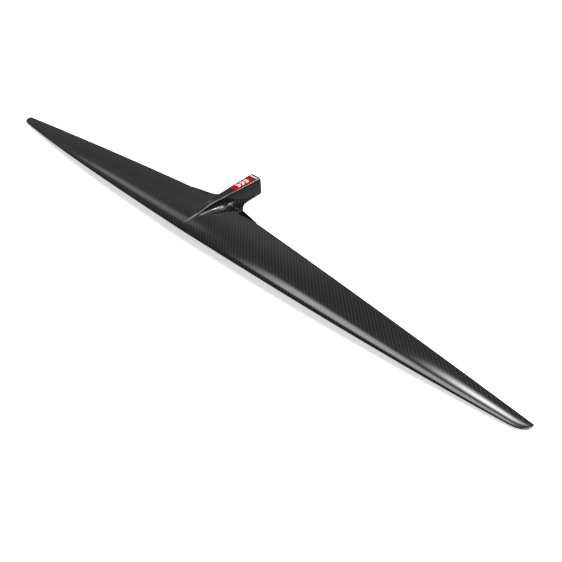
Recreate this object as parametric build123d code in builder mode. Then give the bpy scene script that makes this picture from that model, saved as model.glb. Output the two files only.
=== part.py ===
"""High aspect carbon front wing for a hydrofoil, with the stub that takes the fuselage's tenon.

+X runs to one tip, +Y aft and +Z up. The origin is the centre of the stub's mouth.
"""
from build123d import *
from math import cos, radians, sin, sqrt
import os

# Wing, laid out in a frame of its own whose origin is the trailing edge at the root
HALF_SPAN = 625.0
ROOT_CHORD = 112.6
TIP_CHORD = 19.6
TRAILING_SWEEP = 58.0      # how far the tip's trailing edge lies ahead of the root's
DROOP = 14.9               # how far the tip lies below the root
THICKNESS = 0.115          # thickest part of the section, as a share of the chord
CAMBER = 0.010
CAMBER_PLACE = 0.40        # where along the chord the mean line is highest
WASHOUT = 0.7              # how far the root's nose stands above its tail
EDGE_THICKNESS = 0.7       # trailing edge
TIP_ROUND_START = 0.96     # share of the half span where the rounded tip begins
TIP_ROUND = 14.5           # how far the round takes the leading edge aft
ROOT_SKIN = 1.5
TIP_SKIN = 0.55

# Stub
STUB_LENGTH = 79.7         # from the mouth to the root trailing edge
STUB_HEIGHT = 35.3
MOUTH_WIDTH = 25.6
WAIST_WIDTH = 17.4         # at the trailing edge
NOSE_LENGTH = 0.817 * ROOT_CHORD   # from the trailing edge forward
EDGE_RADIUS = 3.2
NOSE_TOP = 6.6             # height of the nose's tip, just under the wing's upper surface
NOSE_BOTTOM = -2.0
FAIRING_EDGE = 0.8
SHELL_WALL = 2.4
LINER_WALL = 1.2
SOCKET_DEPTH = 70.0
INCIDENCE = 1.6            # of the wing to the stub, in degrees
WING_HEIGHT = -2.6         # of the root trailing edge, from the stub's axis

# Screws that hold the tenon, from below
SCREW_RADIUS = 3.25
SCREW_HEAD_RADIUS = 6.1
BUSHING_RADIUS = 7.0
FRONT_SCREW = 50.0         # from the mouth
REAR_SCREW = 20.0

# Structure inside the wing, as shares of the chord and of the half span
BOND = 0.10                # glue line between neighbouring pieces
CAVITY_FRONT = 0.04
CAVITY_REAR = 0.86
REAR_SHIFT = 0.10          # how much further forward the rear shares lie at the tip
ROVING_END = 0.10
SPAR_FRONT = 0.34
SPAR_REAR = 0.44
STRIP_START = 0.76
CAP_SHARE = 0.78           # the web reaches this far to the skins, and the caps begin there
CAP_BOND = 0.02            # glue line between web and cap, as a share of the half thickness
CORE_END = 0.86
CAVITY_END = 0.95
ROOT_BLOCK = 24.0          # half width of the solid laminate at the root
BOX_START = 0.178 * ROOT_CHORD     # how far the stub's box reaches ahead of the trailing edge

# Label on the stub
LABEL_FRONT = 61.0
LABEL_REAR = 14.5
LABEL_THICKNESS = 0.25
LABEL_CORNER = 0.9
CHEVRON_STEP = 10.0
CHEVRON_WIDTH = 11.0
CHEVRON_DEPTH = 4.0
CHEVRON_STROKE = 6.5
LABEL_SHARE = 0.72         # of the stub's width
BAR_FRONT = 9.2
BAR_REAR = 5.6
BAR_SHARE = 0.70

# Stub ahead of the trailing edge: share of the nose's length, then the shares of the waist's
# half width, of the rise to the full top and of the fall to the full bottom
NOSE_SHAPE = [
    (0.0, 1.0, 1.0, 1.0),
    (BOX_START / NOSE_LENGTH, 0.86, 1.0, 0.99),
    (0.35, 0.78, 0.98, 0.90),
    (0.44, 0.71, 0.94, 0.79),
    (0.52, 0.64, 0.86, 0.68),
    (0.60, 0.56, 0.75, 0.56),
    (0.68, 0.46, 0.60, 0.44),
    (0.76, 0.35, 0.39, 0.32),
    (0.84, 0.25, 0.20, 0.20),
    (0.92, 0.18, 0.07, 0.09),
    (1.0, 0.12, 0.0, 0.0),
]
# Fairing: distance ahead of the trailing edge as a share of the root chord, reach from the
# middle, height of its outer edge, and where it leaves the stub's side above and below as
# shares of the stub's half height
FAIRING_SHAPE = [
    (0.69, 5.0, 1.0, 0.41, -0.25),
    (0.55, 12.0, 0.6, 0.62, -0.48),
    (0.39, 15.5, -0.2, 0.79, -0.68),
    (0.25, 19.5, -1.0, 0.82, -0.82),
    (0.14, 26.0, -1.7, 0.76, -0.88),
    (0.07, 37.0, -2.2, 0.65, -0.91),
    (0.01, 49.0, -2.7, 0.51, -0.93),
    (-0.035, 42.5, -3.6, 0.37, -0.94),
    (-0.08, 36.0, -4.9, 0.23, -0.95),
    (-0.125, 31.0, -6.4, 0.08, -0.96),
    (-0.17, 26.5, -8.3, -0.06, -0.97),
    (-0.22, 21.5, -11.2, -0.25, -0.975),
    (-0.275, 17.3, -14.0, -0.45, -0.98),
    (-0.34, 13.6, -16.0, -0.68, -0.985),
]
FAIRING_ROOT = 1.5         # how deep the fairing's root reaches into the stub's side
FAIRING_WAIST = 0.3        # where the fillet turns, as a share of its reach and of its rise
# Notch behind each fairing where the trailing edge turns forward: reach and distance ahead
NOTCH = [(42.0, 12.4), (42.5, -2.9), (88.0, 7.25)]
NOTCH_FLOOR = 1.3          # how thick the insert in the notch is

FAR = 400.0                # past every piece of the root, for cutting boxes

STATIONS = [0.0, 0.08, 0.2, 0.35, 0.5, 0.65, 0.78, 0.88, 0.95, 0.97, 0.985, 1.0]
CHORD_POINTS = [0.012, 0.05, 0.13, 0.26, 0.42, 0.6, 0.8, 1.0]


def leading_edge(share):
    """Place along the chord of the leading edge, straight near the root and curving aft."""
    gain = ROOT_CHORD - TIP_CHORD - TRAILING_SWEEP
    place = -ROOT_CHORD + gain * (0.2 * share + 0.53 * share**2 + 0.27 * share**4)
    if share > TIP_ROUND_START:
        along = (share - TIP_ROUND_START) / (1 - TIP_ROUND_START)
        place += TIP_ROUND * (1 - sqrt(max(0.0, 1 - along**2)))
    return place


def trailing_edge(share):
    return -TRAILING_SWEEP * share


def droop(share):
    return -DROOP * (0.11 * share + 0.89 * share**2)


def skin_thickness(share):
    return ROOT_SKIN + (TIP_SKIN - ROOT_SKIN) * share


def half_thickness(fraction):
    """Half the section's thickness over its chord, after the four digit NACA formula."""
    curve = 0.2969 * sqrt(fraction) - 0.1260 * fraction - 0.3516 * fraction**2
    curve += 0.2843 * fraction**3 - 0.1036 * fraction**4
    return 5 * THICKNESS * curve


def mean_line(fraction):
    if fraction < CAMBER_PLACE:
        return CAMBER / CAMBER_PLACE**2 * (2 * CAMBER_PLACE * fraction - fraction**2)
    back = 1 - CAMBER_PLACE
    return CAMBER / back**2 * (1 - 2 * CAMBER_PLACE + 2 * CAMBER_PLACE * fraction - fraction**2)


def section_point(share, fraction, side, inset=0.0):
    """A point of the section: side 1 is the upper surface, -1 the lower, 0 the mean line."""
    nose = leading_edge(share)
    chord = trailing_edge(share) - nose
    middle = droop(share) + WASHOUT * (1 - share) * (1 - fraction) + mean_line(fraction) * chord
    half = half_thickness(fraction) * chord + fraction * EDGE_THICKNESS / 2 * (1 - 0.5 * share)
    return (nose + fraction * chord, middle + side * (half - inset))


def section_plane(x):
    angle = radians(INCIDENCE)
    return Plane(
        origin=(x, -STUB_LENGTH, WING_HEIGHT), x_dir=(0, cos(angle), -sin(angle)), z_dir=(1, 0, 0)
    )


def half_section(share, side):
    """Outline of the upper or lower half of the section, closed along the mean line."""
    nose = section_point(share, 0, 0)
    outer = [nose] + [section_point(share, fraction, side) for fraction in CHORD_POINTS]
    tail = section_point(share, 1, 0)
    with BuildLine() as outline:
        Spline(*outer, tangents=[(0, side), (1, -0.12 * side)], tangent_scalars=[1.0, 1.0])
        Line(outer[-1], tail)
        Polyline(tail, section_point(share, 0.5, 0), nose)
    return outline.wires()[0]


def wing_half(side):
    """One mould half of the wing, tip to tip."""
    with BuildPart() as body:
        for share in STATIONS:
            with BuildSketch(section_plane(share * HALF_SPAN)) as sketch:
                add(half_section(share, side))
                make_face()
        loft()
        mirror(about=Plane.YZ)
    return body.part


def cavity_slice(spans, start, end, clear=BOND, top_share=1.0, base_share=-1.0):
    """A slice of the space between the skins, from one share of the chord to another.

    top_share and base_share say how far it reaches from the mean line, 1 to the upper skin
    and -1 to the lower one. spans are the shares of the half span that it is drawn at.
    """
    with BuildPart() as body:
        for share in spans:
            inset = skin_thickness(share) + clear
            front = start if start < 0.6 else start - REAR_SHIFT * share
            rear = end if end < 0.6 else end - REAR_SHIFT * share
            spacing = 1.8 if front < ROVING_END else 1.0
            top = []
            base = []
            for step in range(7):
                # Closer together towards the nose, where the section curves most
                fraction = front + (rear - front) * (step / 6) ** spacing
                y, middle = section_point(share, fraction, 0)
                half = section_point(share, fraction, 1, inset)[1] - middle
                top.append((y, middle + half * top_share))
                base.append((y, middle + half * base_share))
            with BuildSketch(section_plane(share * HALF_SPAN)):
                with BuildLine():
                    Spline(*top)
                    Line(top[-1], base[-1])
                    Spline(*reversed(base))
                    Line(base[0], top[0])
                make_face()
        loft()
    return body.part


def both_sides(half):
    with BuildPart() as body:
        add(half)
        mirror(about=Plane.YZ)
    return body.part


def stub_section(place):
    """Half width, top and bottom of the stub at a place behind (+) or ahead (-) of the mouth."""
    half_height = STUB_HEIGHT / 2
    if place >= -STUB_LENGTH:
        along = -place / STUB_LENGTH
        return MOUTH_WIDTH / 2 + (WAIST_WIDTH - MOUTH_WIDTH) / 2 * along, half_height, -half_height
    along = (-STUB_LENGTH - place) / NOSE_LENGTH
    after = [station for station in NOSE_SHAPE if station[0] >= along - 1e-9][0]
    width = WAIST_WIDTH / 2 * after[1]
    top = NOSE_TOP + (half_height - NOSE_TOP) * after[2]
    bottom = NOSE_BOTTOM - (half_height + NOSE_BOTTOM) * after[3]
    return width, top, bottom


def stub_solid(places, inset=0.0):
    """The stub's outer shape, or its inside, lofted through rounded rectangles."""
    with BuildPart() as body:
        for place in places:
            half_width, top, bottom = stub_section(place)
            radius = min(EDGE_RADIUS, 0.45 * half_width)
            with BuildSketch(Plane.XZ.offset(-place)):
                with Locations((0, (top + bottom) / 2)):
                    RectangleRounded(
                        2 * (half_width - inset), top - bottom - 2 * inset, radius * (1 - inset / half_width)
                    )
        loft(ruled=True)
    return body.part


def fairing_solid():
    """Concave fillet from the stub's right side out over the wing and round its trailing edge."""
    with BuildPart() as body:
        for ahead, reach, edge, top_share, bottom_share in FAIRING_SHAPE:
            place = -STUB_LENGTH - ahead * ROOT_CHORD
            top = top_share * STUB_HEIGHT / 2
            bottom = bottom_share * STUB_HEIGHT / 2
            half_width = stub_section(place)[0]
            inner = half_width - min(FAIRING_ROOT, 0.5 * half_width)
            with BuildSketch(Plane.XZ.offset(-place)):
                with BuildLine():
                    upper = (reach, edge + FAIRING_EDGE / 2)
                    lower = (reach, edge - FAIRING_EDGE / 2)
                    waist = inner + FAIRING_WAIST * (reach - inner)
                    Spline(
                        (inner, top),
                        (waist, edge + FAIRING_WAIST * (top - edge)),
                        upper,
                        tangents=[(0.25, -1), (1, -0.15)],
                    )
                    Line(upper, lower)
                    Spline(
                        lower,
                        (waist, edge + FAIRING_WAIST * (bottom - edge)),
                        (inner, bottom),
                        tangents=[(-1, -0.15), (-0.25, -1)],
                    )
                    Line((inner, bottom), (inner, top))
                make_face()
        loft(ruled=True)
    return body.part


def placed_box(width, start, end, bottom, top):
    """A box about the middle plane, between two places along Y and two heights."""
    with BuildPart() as body:
        with Locations((0, (start + end) / 2, (bottom + top) / 2)):
            Box(width, abs(end - start), top - bottom)
    return body.part


def notch_prism(bottom, top, shrink=0.0):
    """The notch's triangle, extruded between two heights above the wing's own frame."""
    angle = radians(INCIDENCE)
    floor = Plane(
        origin=(0, -STUB_LENGTH + bottom * sin(angle), WING_HEIGHT + bottom * cos(angle)),
        x_dir=(1, 0, 0),
        z_dir=(0, sin(angle), cos(angle)),
    )
    with BuildPart() as body:
        with BuildSketch(floor):
            with BuildLine():
                Polyline(*[(reach, -ahead) for reach, ahead in NOTCH], close=True)
            make_face()
            if shrink:
                offset(amount=-shrink)
        extrude(amount=top - bottom)
    return body.part


def largest(solid):
    """The biggest solid alone, without the slivers that a tangent cut leaves."""
    with BuildPart() as body:
        add(solid.solids().sort_by(SortBy.VOLUME)[-1])
    return body.part


os.makedirs("parts", exist_ok=True)
box_front = -STUB_LENGTH - BOX_START
nose_places = [-STUB_LENGTH - station[0] * NOSE_LENGTH for station in NOSE_SHAPE]

upper_half = wing_half(1)
lower_half = wing_half(-1)
stub_body = stub_solid([0.0] + nose_places)
with BuildPart() as ahead_of_box:
    add(placed_box(FAR, box_front, -FAR, -FAR, FAR))
with BuildPart() as stub_box:
    add(stub_body)
    add(ahead_of_box.part, mode=Mode.SUBTRACT)
cavity = both_sides(cavity_slice([0, 0.2, 0.45, 0.7, CAVITY_END], CAVITY_FRONT, CAVITY_REAR, 0))
notches = both_sides(notch_prism(-6, 6))

pieces = []

# Skins: two mould halves that meet along the mean line
for name, half in (("upper_skin", upper_half), ("lower_skin", lower_half)):
    with BuildPart() as skin:
        add(half)
        add(cavity, mode=Mode.SUBTRACT)
        add(stub_box.part, mode=Mode.SUBTRACT)
        add(notches, mode=Mode.SUBTRACT)
    skin.part.label = name
    pieces.append(skin.part)

# Wing structure on each side of the root block
root_share = ROOT_BLOCK / HALF_SPAN
past_root = root_share + 2 * BOND / HALF_SPAN
core_spans = [past_root, 0.2, 0.45, 0.7, CORE_END]
filler_spans = [CORE_END + 2 * BOND / HALF_SPAN, CAVITY_END - 2 * BOND / HALF_SPAN]
strip_rear = CAVITY_REAR - 0.01
side_pieces = {
    "nose_roving": (core_spans, CAVITY_FRONT + 0.006, ROVING_END),
    "front_core": (core_spans, ROVING_END + 0.004, SPAR_FRONT - 0.002),
    "rear_core": (core_spans, SPAR_REAR + 0.002, STRIP_START - 0.004),
    "tail_strip": (core_spans, STRIP_START, strip_rear),
    "tip_filler": (filler_spans, CAVITY_FRONT + 0.03, 0.78),
}
for name, (spans, start, end) in side_pieces.items():
    for side in ("right", "left"):
        with BuildPart() as piece:
            add(cavity_slice(spans, start, end))
            if side == "left":
                mirror(about=Plane.YZ, mode=Mode.REPLACE)
        piece.part.label = f"{name}_{side}"
        pieces.append(piece.part)

# Spar: a web with a cap bonded above and below it, in one run from side to side
spar_spans = [0.0, 0.2, 0.45, 0.7, CORE_END]
web_top = CAP_SHARE - CAP_BOND
spar_pieces = {
    "upper_spar_cap": (1.0, CAP_SHARE),
    "spar_web": (web_top, -web_top),
    "lower_spar_cap": (-CAP_SHARE, -1.0),
}
for name, (top_share, base_share) in spar_pieces.items():
    with BuildPart() as piece:
        add(cavity_slice(spar_spans, SPAR_FRONT, SPAR_REAR, BOND, top_share, base_share))
        mirror(about=Plane.YZ)
    piece.part.label = name
    pieces.append(piece.part)

# Solid laminate at the root, ahead of the spar and behind it
root_spans = [0.0, root_share]
root_pieces = {
    "root_block_front": (CAVITY_FRONT + 0.005, SPAR_FRONT - 0.002),
    "root_block_rear": (SPAR_REAR + 0.002, strip_rear),
}
for name, (start, end) in root_pieces.items():
    with BuildPart() as piece:
        add(cavity_slice(root_spans, start, end))
        mirror(about=Plane.YZ)
        add(stub_box.part, mode=Mode.SUBTRACT)
    piece.part.label = name
    pieces.append(piece.part)

# Stub: shell, solid core ahead of the socket, and the tapered liner that the tenon slides into
shell_space = stub_solid([0.0, -STUB_LENGTH, box_front], SHELL_WALL)
liner_outside = stub_solid([0.0, -STUB_LENGTH], SHELL_WALL + BOND)
liner_inside = stub_solid([0.0, -STUB_LENGTH], SHELL_WALL + BOND + LINER_WALL)
screw_places = [-REAR_SCREW, -FRONT_SCREW]
stub_floor = -STUB_HEIGHT / 2
liner_floor = stub_floor + SHELL_WALL + BOND + LINER_WALL
with BuildPart() as bushing_holes:
    for place in screw_places:
        with Locations((0, place, (stub_floor + liner_floor) / 2)):
            Cylinder(BUSHING_RADIUS, liner_floor - stub_floor + 1)

with BuildPart() as stub_shell:
    add(stub_box.part)
    add(shell_space, mode=Mode.SUBTRACT)
    add(bushing_holes.part, mode=Mode.SUBTRACT)
stub_shell.part.label = "stub_shell"
pieces.append(stub_shell.part)

with BuildPart() as stub_core:
    add(stub_solid([-STUB_LENGTH, box_front], SHELL_WALL + BOND))
    add(stub_solid([-SOCKET_DEPTH - BOND, -STUB_LENGTH], SHELL_WALL + BOND))
stub_core.part.label = "stub_core"
pieces.append(stub_core.part)

with BuildPart() as socket_liner:
    add(liner_outside)
    add(liner_inside, mode=Mode.SUBTRACT)
    add(placed_box(FAR, -SOCKET_DEPTH, -FAR, -FAR, FAR), mode=Mode.SUBTRACT)
    add(bushing_holes.part, mode=Mode.SUBTRACT)
socket_liner.part.label = "socket_liner"
pieces.append(socket_liner.part)

# Bushings for the two screws, countersunk from below
with BuildPart() as screw_bushings:
    for place in screw_places:
        with BuildSketch(Plane.XY.offset(stub_floor)):
            with Locations((0, place)):
                Circle(BUSHING_RADIUS - BOND)
                Circle(SCREW_RADIUS, mode=Mode.SUBTRACT)
        extrude(amount=liner_floor - stub_floor)
        sink = SCREW_HEAD_RADIUS - SCREW_RADIUS
        with Locations((0, place, stub_floor + sink / 2)):
            Cone(SCREW_HEAD_RADIUS, SCREW_RADIUS, sink, mode=Mode.SUBTRACT)
screw_bushings.part.label = "screw_bushings"
pieces.append(screw_bushings.part)

# Nose of the stub over the wing and its belly under it
for name, floor, ceiling in (("stub_nose", 0, FAR), ("stub_belly", -FAR, 0)):
    with BuildPart() as piece:
        add(stub_body)
        add(placed_box(FAR, box_front, FAR, -FAR, FAR), mode=Mode.SUBTRACT)
        add(upper_half, mode=Mode.SUBTRACT)
        add(lower_half, mode=Mode.SUBTRACT)
        add(placed_box(FAR, -FAR, FAR, floor, ceiling), mode=Mode.INTERSECT)
    whole = largest(piece.part)
    whole.label = name
    pieces.append(whole)

# Fairings and the inserts in the notches behind them
with BuildPart() as right_fairing:
    add(fairing_solid())
    add(stub_body, mode=Mode.SUBTRACT)
    add(upper_half, mode=Mode.SUBTRACT)
    add(lower_half, mode=Mode.SUBTRACT)
    add(notches, mode=Mode.SUBTRACT)
    add(cavity, mode=Mode.SUBTRACT)
notch_insert = notch_prism(-NOTCH_FLOOR, -0.1, BOND)
for name, solid in (("fairing", largest(right_fairing.part)), ("notch_insert", notch_insert)):
    for side in ("right", "left"):
        with BuildPart() as piece:
            add(solid)
            if side == "left":
                mirror(about=Plane.YZ, mode=Mode.REPLACE)
        piece.part.label = f"{name}_{side}"
        pieces.append(piece.part)

# Label on the stub's flat top: a coloured panel, a raised device and a bar behind it
stub_top = STUB_HEIGHT / 2
with BuildPart() as label_panel:
    with BuildSketch(Plane.XY.offset(stub_top)):
        with BuildLine():
            front_width = stub_section(-LABEL_FRONT)[0] * LABEL_SHARE
            rear_width = stub_section(-LABEL_REAR)[0] * LABEL_SHARE
            Polyline(
                (-front_width, -LABEL_FRONT),
                (front_width, -LABEL_FRONT),
                (rear_width, -LABEL_REAR),
                (-rear_width, -LABEL_REAR),
                close=True,
            )
        make_face()
        fillet(vertices(), LABEL_CORNER)
    extrude(amount=LABEL_THICKNESS)
label_panel.part.label = "label_panel"
pieces.append(label_panel.part)

with BuildPart() as label_device:
    middle = -(LABEL_FRONT + LABEL_REAR) / 2
    with BuildSketch(Plane.XY.offset(stub_top + LABEL_THICKNESS)):
        with Locations(*[(0, middle + step * CHEVRON_STEP) for step in (-1, 0, 1)]):
            wing = CHEVRON_WIDTH / 2
            outline = [(-wing, -CHEVRON_DEPTH), (0, 0), (wing, -CHEVRON_DEPTH)]
            outline += [(x, y + CHEVRON_STROKE) for x, y in reversed(outline)]
            Polygon(*outline, align=None)
    extrude(amount=LABEL_THICKNESS)
label_device.part.label = "label_device"
pieces.append(label_device.part)

with BuildPart() as label_bar:
    with BuildSketch(Plane.XY.offset(stub_top)):
        with Locations((0, -(BAR_FRONT + BAR_REAR) / 2)):
            RectangleRounded(MOUTH_WIDTH * BAR_SHARE, BAR_FRONT - BAR_REAR, LABEL_CORNER)
    extrude(amount=LABEL_THICKNESS)
label_bar.part.label = "label_bar"
pieces.append(label_bar.part)

for piece in pieces:
    export_step(piece, f"parts/{piece.label}.step")
    print(piece.label, len(piece.solids()), "solids", round(piece.volume), "mm3")
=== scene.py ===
import math
import bpy
import numpy as np
from mathutils import Matrix, Vector


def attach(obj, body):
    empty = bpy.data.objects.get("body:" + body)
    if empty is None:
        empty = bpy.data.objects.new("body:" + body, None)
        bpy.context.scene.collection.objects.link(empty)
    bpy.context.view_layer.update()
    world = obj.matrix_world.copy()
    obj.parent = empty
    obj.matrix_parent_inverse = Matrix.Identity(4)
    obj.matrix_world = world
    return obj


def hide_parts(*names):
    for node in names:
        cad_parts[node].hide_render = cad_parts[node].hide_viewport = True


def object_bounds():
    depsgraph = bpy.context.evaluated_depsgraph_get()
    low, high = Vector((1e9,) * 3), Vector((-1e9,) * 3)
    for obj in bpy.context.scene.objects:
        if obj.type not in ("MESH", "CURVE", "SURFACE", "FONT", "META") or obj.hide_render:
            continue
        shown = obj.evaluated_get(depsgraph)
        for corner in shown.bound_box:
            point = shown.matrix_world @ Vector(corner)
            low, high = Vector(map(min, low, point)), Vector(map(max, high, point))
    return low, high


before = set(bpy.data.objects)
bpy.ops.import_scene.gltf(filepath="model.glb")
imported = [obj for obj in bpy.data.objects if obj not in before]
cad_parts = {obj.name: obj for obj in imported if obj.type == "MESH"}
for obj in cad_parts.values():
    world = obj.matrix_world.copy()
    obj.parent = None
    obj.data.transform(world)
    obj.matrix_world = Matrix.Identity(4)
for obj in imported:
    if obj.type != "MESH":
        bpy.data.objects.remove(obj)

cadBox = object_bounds()
print("frame loaded:", len(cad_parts), "nodes")

# Wing in its own frame, metres: y aft and z up from the trailing edge at the root
wing = dict(
    halfSpan=0.625, rootChord=0.1126, tipChord=0.0196, sweep=0.058, droop=0.0149,
    thickness=0.115, camber=0.010, camberPlace=0.40, washout=0.0007, edge=0.0007,
    roundStart=0.96, tipRound=0.0145, rootSkin=0.0015, tipSkin=0.00055,
    incidence=math.radians(1.6), originY=-0.0797, originZ=-0.0026,
    spanSteps=160, chordSteps=44, sharp=50, cutInner=0.042, cutOuter=0.088, cutAhead=0.0124, cutEnd=0.00725,
)


def leadingEdge(s):
    # y = -c0 + g (0.2 s + 0.53 s^2 + 0.27 s^4), plus a quarter ellipse over the last part of the span
    w = wing
    gain = w["rootChord"] - w["tipChord"] - w["sweep"]
    along = np.clip((s - w["roundStart"]) / (1 - w["roundStart"]), 0, 1)
    tip = w["tipRound"] * (1 - np.sqrt(1 - along**2))
    return -w["rootChord"] + gain * (0.2 * s + 0.53 * s**2 + 0.27 * s**4) + tip


def trailingEdge(s):
    return -wing["sweep"] * s  # straight


def halfThickness(f):
    # NACA four digit: 5 T (0.2969 sqrt f - 0.126 f - 0.3516 f^2 + 0.2843 f^3 - 0.1036 f^4)
    curve = 0.2969 * np.sqrt(f) - 0.1260 * f - 0.3516 * f**2 + 0.2843 * f**3 - 0.1036 * f**4
    return 5 * wing["thickness"] * curve


def meanLine(f):
    # parabolas that meet at the camber's place p: m / p^2 (2 p f - f^2), and its mirror behind
    m, p = wing["camber"], wing["camberPlace"]
    front = m / p**2 * (2 * p * f - f**2)
    rear = m / (1 - p) ** 2 * (1 - 2 * p + 2 * p * f - f**2)
    return np.where(f < p, front, rear)


def wingHeights(s, f, side, inset=0.0):
    # z = droop + washout (1 - s)(1 - f) + mean line + side (half thickness - inset)
    w = wing
    chord = trailingEdge(s) - leadingEdge(s)
    droop = -w["droop"] * (0.11 * s + 0.89 * s**2)
    middle = droop + w["washout"] * (1 - s) * (1 - f) + meanLine(f) * chord
    half = halfThickness(f) * chord + f * w["edge"] / 2 * (1 - 0.5 * s)
    return middle + side * np.maximum(half - inset, 0.00002)


def toRow(x, y, z):
    # turn by the incidence about X, then shift to the stub's frame
    c, k = math.cos(wing["incidence"]), math.sin(wing["incidence"])
    return np.stack([x, wing["originY"] + y * c + z * k, wing["originZ"] - y * k + z * c], -1)


def wingPoint(x, f, side, inset=0.0):
    s = np.abs(x) / wing["halfSpan"]
    nose = leadingEdge(s)
    y = nose + f * (trailingEdge(s) - nose)
    return toRow(x, y, wingHeights(s, f, side, inset))


def heightOver(x, y, side):
    # the wing's surface over a place given in the stub's frame; level with the edge behind it
    c, k = math.cos(wing["incidence"]), math.sin(wing["incidence"])
    s = np.abs(x) / wing["halfSpan"]
    own = (y - wing["originY"]) / c
    f = np.clip((own - leadingEdge(s)) / (trailingEdge(s) - leadingEdge(s)), 0, 1)
    return wing["originZ"] - own * k + wingHeights(s, f, side) * c


def through(places, values, at):
    # monotone cubic through a few points: Hermite pieces with limited slopes
    p, v = np.array(places, float), np.array(values, float)
    step, rise = np.diff(p), np.diff(v)
    slope = rise / step
    tangent = np.zeros_like(v)
    same = slope[:-1] * slope[1:] > 0
    tangent[1:-1][same] = 2 * slope[:-1][same] * slope[1:][same] / (slope[:-1] + slope[1:])[same]
    tangent[0], tangent[-1] = slope[0], slope[-1]
    i = np.clip(np.searchsorted(p, at) - 1, 0, len(step) - 1)
    t = np.clip((at - p[i]) / step[i], 0, 1)
    return (
        v[i] * (1 + 2 * t) * (1 - t) ** 2 + tangent[i] * step[i] * t * (1 - t) ** 2
        + v[i + 1] * t**2 * (3 - 2 * t) + tangent[i + 1] * step[i] * t**2 * (t - 1)
    )


def gridPiece(name, points, sharp, uvLeft=None, uvRight=None):
    # points[row, column]: faces join neighbouring rows and columns, each row closes on itself,
    # and a fan round its centre caps the first row and the last
    rows, columns = points.shape[:2]
    r, c = np.meshgrid(np.arange(rows - 1), np.arange(columns), indexing="ij")
    nextC = (c + 1) % columns
    here, ahead = r * columns, (r + 1) * columns
    faces = np.stack([here + c, here + nextC, ahead + nextC, ahead + c], -1).reshape(-1, 4)
    flat = points.reshape(-1, 3)
    if uvLeft is None:
        uvLeft = points[..., :2]
    if uvRight is None:
        uvRight = np.roll(uvLeft, -1, axis=1)
    uv = np.stack([uvLeft[:-1], uvRight[:-1], uvRight[1:], uvLeft[1:]], 2).reshape(-1, 2)
    corners = [faces.reshape(-1)]
    counts = [np.full(len(faces), 4)]
    for row, order in ((0, -1), (rows - 1, 1)):
        centre = len(flat)
        flat = np.vstack([flat, points[row].mean(0)])
        ids = row * columns + np.arange(columns)
        fan = np.stack([ids, np.roll(ids, -1), np.full(columns, centre)][::order], -1)
        corners.append(fan.reshape(-1))
        counts.append(np.full(columns, 3))
        uv = np.vstack([uv, flat[fan.reshape(-1)][:, :2]])
    loops = np.concatenate(corners).astype(np.int32)
    sizes = np.concatenate(counts).astype(np.int32)
    mesh = bpy.data.meshes.new(name)
    mesh.vertices.add(len(flat))
    mesh.vertices.foreach_set("co", flat.astype(np.float32).ravel())
    mesh.loops.add(len(loops))
    mesh.loops.foreach_set("vertex_index", loops)
    mesh.polygons.add(len(sizes))
    mesh.polygons.foreach_set("loop_start", np.concatenate([[0], np.cumsum(sizes)[:-1]]).astype(np.int32))
    mesh.polygons.foreach_set("loop_total", sizes)
    mesh.update(calc_edges=True)
    layer = mesh.uv_layers.new(name="weave")
    layer.data.foreach_set("uv", uv.astype(np.float32).ravel())
    mesh.validate()
    mesh.polygons.foreach_set("use_smooth", np.ones(len(mesh.polygons), bool))
    mesh.set_sharp_from_angle(angle=math.radians(sharp))
    piece = bpy.data.objects.new(name, mesh)
    bpy.context.collection.objects.link(piece)
    return piece


def isOutward(piece):
    # signed volume by the divergence theorem: sum of v0 . (v1 x v2) / 6 over the triangles
    mesh = piece.data
    mesh.calc_loop_triangles()
    tri = np.zeros(len(mesh.loop_triangles) * 3, np.int32)
    mesh.loop_triangles.foreach_get("vertices", tri)
    co = np.zeros(len(mesh.vertices) * 3, np.float32)
    mesh.vertices.foreach_get("co", co)
    v = co.reshape(-1, 3)[tri.reshape(-1, 3)].astype(float)
    return np.einsum("ij,ij->i", v[:, 0], np.cross(v[:, 1], v[:, 2])).sum() > 0


def finishPiece(piece, material, slot, *nodes):
    if not isOutward(piece):
        piece.data.flip_normals()
        print("turned outward:", piece.name)
    piece.data.materials.append(material)
    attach(piece, "root")
    if nodes:
        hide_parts(*nodes)
    return piece


# Materials

# painted sheen: light is the tone of the tows that lie lengthways on top and dark that of the crossways ones;
# the fibre is the same, and the gap between the tones stands in for the way the fibres catch the light
weave = dict(
    tow=0.0018, bump=0.00008, light=(0.0127, 0.0132, 0.0140), dark=(0.0010, 0.0010, 0.0011),
    roughness=0.38, coatRoughness=0.08, coatIndex=1.5,
)


def nodeTools(owner):
    owner.use_nodes = True
    tree = owner.node_tree
    tree.nodes.clear()

    def node(kind, **inputs):
        made = tree.nodes.new(kind)
        for key, value in inputs.items():
            setattr(made, key, value)
        return made

    def math2(operation, a, b=None):
        made = node("ShaderNodeMath", operation=operation)
        for i, value in enumerate((a, b)):
            if value is None:
                continue
            if isinstance(value, (int, float)):
                made.inputs[i].default_value = value
            else:
                tree.links.new(value, made.inputs[i])
        return made.outputs[0]

    def mix(factor, a, b):
        made = node("ShaderNodeMix", data_type="RGBA")
        for key, value in ((0, factor), (6, a), (7, b)):
            if isinstance(value, tuple):
                made.inputs[key].default_value = (*value, 1)
            elif isinstance(value, (int, float)):
                made.inputs[key].default_value = value
            else:
                tree.links.new(value, made.inputs[key])
        return made.outputs[2]

    def output(shader):
        end = node("ShaderNodeOutputMaterial")
        tree.links.new(shader.outputs[0], end.inputs["Surface"])

    return tree, node, math2, mix, output


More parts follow.
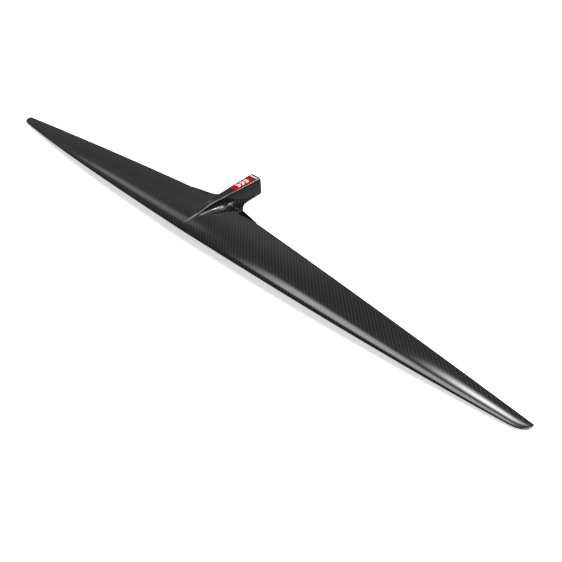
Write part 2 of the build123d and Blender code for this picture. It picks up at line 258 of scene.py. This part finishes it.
def carbonTwill(name, ownMap=True):
    # two by two twill: u = x / tow, v = y / tow, phase = (floor u + floor v) mod 4,
    # with the lengthways tow on top while the phase is below 2
    material = bpy.data.materials.new(name)
    tree, node, math2, mix, output = nodeTools(material)
    coordinate = node("ShaderNodeTexCoord")
    uv = node("ShaderNodeUVMap", uv_map="weave")
    split = node("ShaderNodeSeparateXYZ")
    tree.links.new(uv.outputs[0] if ownMap else coordinate.outputs["Object"], split.inputs[0])
    u = math2("DIVIDE", split.outputs[0], weave["tow"])
    v = math2("DIVIDE", split.outputs[1], weave["tow"])
    cellU, cellV = math2("FLOOR", u), math2("FLOOR", v)
    phase = math2("FLOORED_MODULO", math2("ADD", cellU, cellV), 4.0)
    onTop = math2("LESS_THAN", phase, 1.5)
    # each tow is a low arch, highest at its middle and at the middle of its float
    acrossU = math2("PINGPONG", math2("SUBTRACT", u, cellU), 0.5)
    acrossV = math2("PINGPONG", math2("SUBTRACT", v, cellV), 0.5)
    alongV = math2("MULTIPLY", math2("FLOORED_MODULO", math2("ADD", cellU, v), 4.0), 0.5)
    alongV = math2("PINGPONG", alongV, 0.5)
    alongU = math2("SUBTRACT", math2("FLOORED_MODULO", math2("ADD", u, cellV), 4.0), 2.0)
    alongU = math2("MULTIPLY", alongU, 0.5)
    alongU = math2("PINGPONG", alongU, 0.5)
    lengthways = math2("ADD", math2("MULTIPLY", acrossU, 1.0), math2("MULTIPLY", alongV, 0.9))
    crossways = math2("ADD", math2("MULTIPLY", acrossV, 1.0), math2("MULTIPLY", alongU, 0.9))
    height = node("ShaderNodeMix", data_type="FLOAT")
    tree.links.new(onTop, height.inputs[0])
    tree.links.new(crossways, height.inputs[2])
    tree.links.new(lengthways, height.inputs[3])
    noise = node("ShaderNodeTexNoise")
    noise.inputs["Scale"].default_value = 35
    noise.inputs["Detail"].default_value = 3
    tree.links.new(coordinate.outputs["Object"], noise.inputs["Vector"])
    # painted shade: the low parts of each arch, between the tows, are darkened down to 0.35 of the tone, as
    # if lying in their own shade
    hollowShade = node("ShaderNodeMapRange")
    tree.links.new(height.outputs[0], hollowShade.inputs["Value"])
    hollowShade.inputs["From Min"].default_value = 0.1
    hollowShade.inputs["From Max"].default_value = 0.8
    hollowShade.inputs["To Min"].default_value = 0.35
    # painted sheen: the lengthways tow on top gets the light tone and the crossways one the dark tone
    tone = mix(onTop, weave["dark"], weave["light"])
    shade = node("ShaderNodeMix", data_type="RGBA", blend_type="MULTIPLY")
    shade.inputs[0].default_value = 1.0
    tree.links.new(tone, shade.inputs[6])
    tree.links.new(hollowShade.outputs[0], shade.inputs[7])
    wander = node("ShaderNodeMapRange")
    tree.links.new(noise.outputs["Fac"], wander.inputs["Value"])
    wander.inputs["To Min"].default_value = 0.8
    wander.inputs["To Max"].default_value = 1.2
    varied = node("ShaderNodeMix", data_type="RGBA", blend_type="MULTIPLY")
    varied.inputs[0].default_value = 1.0
    tree.links.new(shade.outputs[2], varied.inputs[6])
    tree.links.new(wander.outputs[0], varied.inputs[7])
    bump = node("ShaderNodeBump")
    bump.inputs["Strength"].default_value = 0.35
    bump.inputs["Distance"].default_value = weave["bump"]
    tree.links.new(height.outputs[0], bump.inputs["Height"])
    shader = node("ShaderNodeBsdfPrincipled")
    tree.links.new(varied.outputs[2], shader.inputs["Base Color"])
    tree.links.new(bump.outputs[0], shader.inputs["Normal"])
    shader.inputs["Roughness"].default_value = weave["roughness"]
    shader.inputs["Specular IOR Level"].default_value = 0.05
    shader.inputs["Coat Weight"].default_value = 1.0
    shader.inputs["Coat Roughness"].default_value = weave["coatRoughness"]
    shader.inputs["Coat IOR"].default_value = weave["coatIndex"]
    output(shader)
    return material


def coatedPlain(name, colour, roughness, metallic=0.0, coat=0.0, grain=60.0, vary=0.12, specular=0.5):
    # one colour with a slow change of tone, a fine grain in the surface and a little change of gloss
    material = bpy.data.materials.new(name)
    tree, node, math2, mix, output = nodeTools(material)
    coordinate = node("ShaderNodeTexCoord")
    noise = node("ShaderNodeTexNoise")
    noise.inputs["Scale"].default_value = grain
    noise.inputs["Detail"].default_value = 4
    tree.links.new(coordinate.outputs["Object"], noise.inputs["Vector"])
    darker = tuple(c * (1 - vary) for c in colour)
    lighter = tuple(min(1.0, c * (1 + vary)) for c in colour)
    tone = mix(noise.outputs["Fac"], darker, lighter)
    fine = node("ShaderNodeTexNoise")
    fine.inputs["Scale"].default_value = grain * 30
    fine.inputs["Detail"].default_value = 2
    tree.links.new(coordinate.outputs["Object"], fine.inputs["Vector"])
    gloss = node("ShaderNodeMapRange")
    tree.links.new(noise.outputs["Fac"], gloss.inputs["Value"])
    gloss.inputs["To Min"].default_value = roughness * 0.85
    gloss.inputs["To Max"].default_value = roughness * 1.2
    bump = node("ShaderNodeBump")
    bump.inputs["Strength"].default_value = 0.3
    bump.inputs["Distance"].default_value = 0.00002
    tree.links.new(fine.outputs["Fac"], bump.inputs["Height"])
    shader = node("ShaderNodeBsdfPrincipled")
    tree.links.new(tone, shader.inputs["Base Color"])
    tree.links.new(gloss.outputs[0], shader.inputs["Roughness"])
    tree.links.new(bump.outputs[0], shader.inputs["Normal"])
    shader.inputs["Metallic"].default_value = metallic
    shader.inputs["Specular IOR Level"].default_value = specular
    shader.inputs["Coat Weight"].default_value = coat
    shader.inputs["Coat Roughness"].default_value = 0.05
    output(shader)
    return material


twill = carbonTwill("twillClearCoat")
plainTwill = carbonTwill("twillOnFlats", ownMap=False)
laminate = coatedPlain("straightLaminate", (0.025, 0.025, 0.027), 0.4)
foam = coatedPlain("coreFoam", (0.72, 0.64, 0.45), 0.85, grain=90)
liner = coatedPlain("glassLiner", (0.035, 0.038, 0.036), 0.45)
steel = coatedPlain("turnedStainless", (0.62, 0.62, 0.60), 0.28, metallic=1.0, vary=0.05)
# painted shade: near black, dull and almost without specular, it stands in for the deep shade in the right
# notch beside the stub
notchShade = coatedPlain("notchPaintedShade", (0.002, 0.002, 0.002), 0.9, specular=0.02)
labelRed = coatedPlain("labelRed", (0.37, 0.0006, 0.0022), 0.5, coat=0.03, vary=0.10, specular=0.02)
labelWhite = coatedPlain("labelWhite", (0.52, 0.50, 0.50), 0.5, coat=0.3, vary=0.04, specular=0.1)
print("materials made")

# Skins


def spanPlaces():
    # stations from tip to tip, closer at the tips, with a pair at each end of the notch
    w = wing
    t = np.linspace(0, 1, w["spanSteps"])
    half = w["halfSpan"] * (1 - (1 - t) ** 1.5)
    notch = np.array([w["cutInner"] - 1e-5, w["cutInner"] + 1e-5, w["cutOuter"]])
    half = np.unique(np.concatenate([half, notch]))
    return np.concatenate([-half[:0:-1], half])


def cutFraction(x):
    # the upper skin ends on a straight line across the notch, and at its trailing edge elsewhere
    w = wing
    s = np.abs(x) / w["halfSpan"]
    along = (np.abs(x) - w["cutInner"]) / (w["cutOuter"] - w["cutInner"])
    line = -w["cutAhead"] + along * (w["cutAhead"] - w["cutEnd"])
    f = (line - leadingEdge(s)) / (trailingEdge(s) - leadingEdge(s))
    return np.where((along > 0) & (along < 1), np.minimum(f, 1.0), 1.0)


def skinPiece(name, side):
    # outer surface from nose to tail, then the inner one back; f = (k / n)^1.8 crowds the nose
    w = wing
    x = spanPlaces()[:, None]
    s = np.abs(x) / w["halfSpan"]
    k = np.linspace(0, 1, w["chordSteps"])[None, :] ** 1.8
    end = cutFraction(x) if side > 0 else np.ones_like(x)
    outer = wingPoint(x + 0 * k, k * end, side)
    inset = w["rootSkin"] + (w["tipSkin"] - w["rootSkin"]) * s
    back = k[:, ::-3] * end
    inner = wingPoint(x + 0 * back, back, side, inset + 0 * back)
    points = np.concatenate([outer, inner], 1)
    return gridPiece(name, points, w["sharp"])


finishPiece(skinPiece("wingUpperSkin", 1), twill, "twill_carbon", "upper_skin")
finishPiece(skinPiece("wingLowerSkin", -1), twill, "twill_carbon", "lower_skin")
print("skins made")

# Stub with its nose over the wing, its belly and the fairings, one closed shell with an open mouth.
# Each table pairs places, in millimetres ahead of the mouth, with values there: half width, heights
# of top and bottom, where the fillet leaves the side, how far out it reaches, the height of its free
# edge, the top edge's radius and its largest share of the half width, and the fillet's power.
stub = dict(
    width=([0, 16, 32, 48, 64, 80, 94, 104, 112, 120, 126, 133, 139, 145, 150, 156, 162, 168, 174, 182],
           [13.2, 12.5, 11.8, 11.0, 10.2, 9.1, 8.4, 7.8, 7.3, 6.8, 6.4, 5.9, 5.4, 5.0, 4.6,
            4.1, 3.5, 2.9, 2.1, 0.5]),
    top=([0, 106, 113, 120, 126, 133, 139, 145, 150, 156, 162, 168, 174, 182],
         [17.65, 17.65, 17.4, 16.7, 15.7, 14.4, 13.1, 11.8, 10.7, 9.7, 9.0, 8.45, 7.95, 6.7]),
    bottom=([0, 84, 100, 112, 126, 139, 150, 162, 182],
            [-17.5, -17.5, -17.2, -16.0, -12.8, -9.6, -7.3, -5.8, -4.0]),
    crease=([0, 36, 50, 65, 74, 82, 90, 98, 108, 182],
            [-14.6, -9.4, -4.3, 1.2, 5.0, 9.0, 12.6, 15.0, 17.0, 17.0]),
    reach=([0, 36, 41, 45, 50, 55, 60.7, 65.7, 73, 77, 80, 86, 94, 102, 110,
            122, 131, 140, 150, 162, 174, 182],
           [13.2, 13.4, 14.0, 15.4, 18.1, 21.5, 26.6, 30.6, 38.2, 41.7, 43.0, 41.2, 36.5, 31.0, 26.0,
            19.5, 15.8, 12.6, 9.8, 7.2, 4.2, 1.6]),
    edge=([0, 36, 45, 50, 60.7, 65.7, 73, 80, 90],
          [-15.4, -16.2, -15.2, -13.2, -8.2, -6.3, -4.2, -2.6, -2.6]),
    roundness=([0, 40, 120, 145, 182], [3.0, 2.6, 2.6, 3.6, 3.6]),
    share=([0, 120, 145, 182], [0.45, 0.45, 0.8, 0.85]),
    power=([0, 50, 68, 84, 100, 125, 150, 182], [1.8, 1.8, 2.5, 3.1, 2.6, 2.1, 1.8, 1.8]),
    floorRadius=([0, 40, 182], [4.8, 3.0, 3.0]), floorShare=0.45, mouthRound=1.7, lean=6.0,
    length=181.0, boxLength=99.7, halfWidth=12.8, halfHeight=17.65, wall=2.4,
    edgePlace=80, halfEdge=0.35, lowPower=1.8, tuck=0.06, clear=0.02, sharp=32,
)


def stubRings():
    # one ring at each place: flat top, round edge, side, then a concave fillet
    # x = a + (r - a) q^n, z = base + h (1 - q)^n out to the edge, and the same below
    d = stub
    stretches = ((0.05, 1.75, 7), (2.4, 99, 108), (99.6, d["length"], 100))
    t = np.concatenate([np.linspace(*stretch) for stretch in stretches])[:, None]
    half = through(*d["width"], t)
    top = np.maximum(through(*d["top"], t), 1000 * heightOver(0 * t, -t / 1000, 1) + d["clear"])
    bottom = np.minimum(through(*d["bottom"], t), 1000 * heightOver(0 * t, -t / 1000, -1) - d["clear"])
    reach = np.maximum(through(*d["reach"], t), half + 0.05)
    behind = t < d["edgePlace"]
    radius = np.minimum(through(*d["roundness"], t), through(*d["share"], t) * half)
    floorRadius = np.minimum(through(*d["floorRadius"], t), d["floorShare"] * half)
    crease = np.minimum(through(*d["crease"], t), top - radius)
    # upper side, from the middle out
    flat = np.linspace(0, 1, 5)[None, :-1]
    lean = d["lean"] * np.clip((top - radius - crease) / 6, 0, 1)
    turn = np.linspace(0, np.pi / 2, 8)[None, :] * (1 - lean / 90 * 2)
    edgeX = half - radius - lean / 20 + radius * np.sin(turn)
    edgeZ = top - radius + radius * np.cos(turn)
    down = np.linspace(0, 1, 9)[None, 1:-1]
    lower = edgeZ[:, -1:]
    sideX = half + (edgeX[:, -1:] - half) * (1 - down) ** 2
    sideZ = lower + (crease - lower) * down
    q = np.linspace(0, 1, 24)[None, :]
    power = through(*d["power"], t)
    filletX = half + (reach - half) * q**power
    over = 1000 * heightOver(filletX / 1000, -t / 1000 + 0 * q, 1)
    edge = through(*d["edge"], t)
    base = np.where(behind, edge + d["halfEdge"], over)
    rise = crease - base[:, :1]
    filletZ = base + rise * (1 - q) ** power - np.where(behind, 0, d["tuck"]) * q**6
    flat = flat * edgeX[:, :1]
    upperX = np.concatenate([flat, edgeX, sideX + 0 * down, filletX], 1)
    upperZ = np.concatenate([top + 0 * flat, edgeZ, sideZ, filletZ], 1)
    # lower side, from the edge in
    p = np.linspace(1, 0, 16)[None, :]
    lowX = half + (reach - half) * p ** d["lowPower"]
    under = 1000 * heightOver(lowX / 1000, -t / 1000 + 0 * p, -1)
    lowBase = np.where(behind, edge - d["halfEdge"], under)
    fall = bottom + floorRadius - lowBase[:, -1:]
    lowZ = lowBase + fall * (1 - p) ** d["lowPower"] + np.where(behind, 0, d["tuck"]) * p**6
    cornerTurn = np.linspace(0, np.pi / 2, 7)[None, :]
    cornerX = half - floorRadius + floorRadius * np.cos(cornerTurn)
    cornerZ = bottom + floorRadius - floorRadius * np.sin(cornerTurn)
    floor = np.linspace(1, 0, 5)[None, 1:-1] * (half - floorRadius)
    lowerX = np.concatenate([lowX, cornerX, floor], 1)
    lowerZ = np.concatenate([lowZ, cornerZ, bottom + 0 * floor], 1)
    rightX = np.concatenate([upperX, lowerX], 1)
    rightZ = np.concatenate([upperZ, lowerZ], 1)
    # the left half is the right half's mirror, walked back from the floor to the top
    x = np.concatenate([rightX, 0 * t, -rightX[:, :0:-1]], 1)
    z = np.concatenate([rightZ, bottom, rightZ[:, :0:-1]], 1)
    y = -t + 0 * x
    # the mouth's outer edge is rounded by r: each ring draws in by r - sqrt(r^2 - (r - t)^2)
    r = d["mouthRound"]
    drawn = r - np.sqrt(r**2 - np.maximum(r - t, 0) ** 2)
    x = x * (1 - drawn / half[0])
    z = z * (1 - drawn / top[0])
    return np.stack([x, y, z], -1) / 1000, upperX.shape[1], flat.shape[1]


def stubPiece():
    d = stub
    outer, upperCount, flatCount = stubRings()
    # the mouth's rim, then the inside of the shell back to the solid core
    whole = 7  # the first ring past the rounded mouth
    widen = d["width"][1][0] / through(*d["width"], np.array([2.4]))[0]
    first = outer[whole] * np.array([widen, 0, 1])
    rim = outer[0] * np.array([0.995, 0, 0.995])
    hollowZ = 1 - d["wall"] / d["halfHeight"]
    inner = []
    for place in (0.0, 4.0, 40.0, d["boxLength"]):
        narrow = (through(*d["width"], np.array([place]))[0] - d["wall"]) / d["halfWidth"]
        ring = first * np.array([narrow, 0, hollowZ]) + np.array([0, -place / 1000, 0])
        inner.append(ring)
    rows = np.concatenate([np.array(inner[::-1]), rim[None], outer], 0)
    # weave: arc length inward from the outer edge on the sides, plain x on the flat top and floor
    step = np.linalg.norm(np.diff(rows[..., [0, 2]], axis=1, append=rows[:, :1, [0, 2]]), axis=2)
    arc = np.concatenate([np.zeros((len(rows), 1)), np.cumsum(step, 1)], 1)
    edgeAt = upperCount - 1
    count = rows.shape[1]
    mirrorEdge = count - edgeAt
    column = np.arange(count + 1)
    right = rows[:, edgeAt, 0][:, None] - (arc[:, edgeAt][:, None] - arc)
    left = rows[:, mirrorEdge, 0][:, None] + (arc - arc[:, mirrorEdge][:, None])
    onRight = column <= count // 2
    u = np.where(onRight, right, left)
    wrapped = np.concatenate([rows, rows[:, :1]], 1)
    along = wrapped[..., 1]
    uvLeft = np.stack([u[:, :-1], along[:, :-1]], -1)
    uvRight = np.stack([u[:, 1:], along[:, 1:]], -1)
    # faces of the flat top read x itself, so the weave runs straight across it
    topFace = (column[:-1] < flatCount) | (column[:-1] >= count - flatCount)
    uvLeft[:, topFace, 0] = wrapped[:, :-1][:, topFace, 0]
    uvRight[:, topFace, 0] = wrapped[:, 1:][:, topFace, 0]
    # the face that crosses the middle of the floor keeps to one side's count
    middle = count // 2
    uvLeft[:, middle, 0] = right[:, middle]
    uvRight[:, middle, 0] = right[:, middle + 1]
    return gridPiece("stubShell", rows, d["sharp"], uvLeft, uvRight)


finishPiece(
    stubPiece(), twill, "twill_carbon",
    "stub_shell", "stub_nose", "stub_belly", "fairing_right", "fairing_left",
)
print("stub made")

# CAD pieces keep their shape and get their finish
finishes = {
    "nose_roving": laminate, "tail_strip": laminate, "tip_filler": laminate, "upper_spar_cap": laminate,
    "lower_spar_cap": laminate, "spar_web": laminate, "root_block": laminate, "stub_core": laminate,
    "front_core": foam, "rear_core": foam, "socket_liner": liner, "screw_bushings": steel,
    # painted shade: the right notch insert is near black, while the left one, its twin, keeps the twill
    "notch_insert_right": notchShade, "notch_insert_left": plainTwill,
    "label_panel": labelRed, "label_device": labelWhite, "label_bar": labelWhite,
}
for name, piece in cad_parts.items():
    for start, material in finishes.items():
        if name.startswith(start):
            piece.data.materials.clear()
            piece.data.materials.append(material)
print("finishes given")

# Camera, lights and floor
view = dict(
    place=(0.67240, -0.62786, 0.58968), target=(0.13990, -0.08332, -0.11160),
    up=(0, 0.02775, 0.99961), lens=35.877,
)


def lookFrom(place, target, up=(0, 0, 1)):
    back = (Vector(place) - Vector(target)).normalized()
    side = Vector(up).cross(back).normalized()
    rise = back.cross(side)
    turn = Matrix((side, rise, back)).transposed()
    return Matrix.Translation(place) @ turn.to_4x4()


cameraData = bpy.data.cameras.new("camera")
cameraData.lens = view["lens"]
cameraData.sensor_width = 36
cameraData.clip_start = 0.01
camera = bpy.data.objects.new("camera", cameraData)
camera.matrix_world = lookFrom(view["place"], view["target"], view["up"])
bpy.context.collection.objects.link(camera)
bpy.context.scene.camera = camera

# Studio: a dim room with soft cards, placed by their slopes x / z and y / z as seen from the wing
studio = dict(
    room=0.325, low=0.20, lowSlope=2.6, highSlope=1.7, front=0.30, zenith=0.04, under=0.27, floorLook=0.90,
    west=(-0.92, -0.64), overhead=(0.12, 0.26), ahead=(-0.5, 0.2), horizon=0.05, floorTurn=(-0.45, -0.60),
    cards=(
        dict(x=(-0.17, 0.01), y=(0.84, 1.13), soft=0.14, strength=33.0),
        dict(x=(0.48, 0.70), y=(0.62, 1.30), soft=0.08, strength=36.0),
        dict(x=(0.30, 0.84), y=(0.69, 0.79), soft=0.07, strength=32.0),
        dict(x=(-0.62, 0.10), y=(0.16, 0.57), soft=0.12, strength=8.4),
        dict(x=(0.50, 0.76), y=(-0.05, 0.60), soft=0.10, strength=26.0),
        dict(x=(-1.72, -1.00), y=(0.42, 0.68), soft=0.16, strength=1.9),
        dict(x=(-1.70, -0.85), y=(1.25, 2.00), soft=0.25, strength=0.22),
    ),
)


def buildWorld():
    world = bpy.data.worlds.new("studio")
    bpy.context.scene.world = world
    tree, node, math2, mix, output = nodeTools(world)
    coordinate = node("ShaderNodeTexCoord")
    split = node("ShaderNodeSeparateXYZ")
    tree.links.new(coordinate.outputs["Generated"], split.inputs[0])
    x, y, z = split.outputs
    rise = math2("MAXIMUM", z, 0.02)
    slopeX, slopeY = math2("DIVIDE", x, rise), math2("DIVIDE", y, rise)

    def ramp(value, start, end, low=0.0, high=1.0):
        made = node("ShaderNodeMapRange", interpolation_type="SMOOTHSTEP")
        tree.links.new(value, made.inputs["Value"])
        for key, number in (("From Min", start), ("From Max", end), ("To Min", low), ("To Max", high)):
            made.inputs[key].default_value = number
        return made.outputs[0]

    d = studio
    reach = math2("SQRT", math2("ADD", math2("POWER", slopeX, 2.0), math2("POWER", slopeY, 2.0)))
    west = ramp(math2("DIVIDE", slopeX, reach), *d["west"], 1 - d["low"] / d["room"], 0.0)
    lowDown = math2("MULTIPLY", west, ramp(reach, d["highSlope"], d["lowSlope"]))
    total = math2("MULTIPLY", math2("SUBTRACT", 1.0, lowDown), d["room"])
    total = math2("MULTIPLY", total, ramp(reach, *d["overhead"], d["zenith"] / d["room"], 1.0))
    total = math2("MULTIPLY", total, ramp(slopeY, *d["ahead"], d["front"] / d["room"], 1.0))
    for card in d["cards"]:
        soft = card["soft"]
        (left, right), (near, far) = card["x"], card["y"]
        fromLeft, fromRight = ramp(slopeX, left - soft, left + soft), ramp(slopeX, right + soft, right - soft)
        fromNear, fromFar = ramp(slopeY, near - soft, near + soft), ramp(slopeY, far + soft, far - soft)
        wide, deep = math2("MULTIPLY", fromLeft, fromRight), math2("MULTIPLY", fromNear, fromFar)
        lit = math2("MULTIPLY", math2("MULTIPLY", wide, deep), card["strength"])
        total = math2("ADD", total, lit)
    above = ramp(z, 0.0, d["horizon"])
    below = ramp(z, *d["floorTurn"], d["under"], d["floorLook"])
    below = math2("MULTIPLY", below, math2("SUBTRACT", 1.0, above))
    total = math2("ADD", math2("MULTIPLY", total, above), below)
    background = node("ShaderNodeBackground")
    tree.links.new(total, background.inputs["Strength"])
    end = node("ShaderNodeOutputWorld")
    tree.links.new(background.outputs[0], end.inputs["Surface"])


def paleFloor():
    # soft white with a little light of its own, so that the shadow stays faint
    material = bpy.data.materials.new("paleFloor")
    tree, node, math2, mix, output = nodeTools(material)
    shader = node("ShaderNodeBsdfPrincipled")
    shader.inputs["Base Color"].default_value = (0.9, 0.9, 0.9, 1)
    shader.inputs["Roughness"].default_value = 0.9
    shader.inputs["Emission Color"].default_value = (1, 1, 1, 1)
    shader.inputs["Emission Strength"].default_value = 0.6
    output(shader)
    return material


buildWorld()
bpy.context.scene.view_settings.view_transform = "Standard"
bpy.ops.mesh.primitive_plane_add(size=12, location=(0, 0, cadBox[0].z - 0.0005))
floor = bpy.context.object
floor.name = "floor"
floor.data.materials.append(paleFloor())
floor.visible_glossy = False
print("stage set")
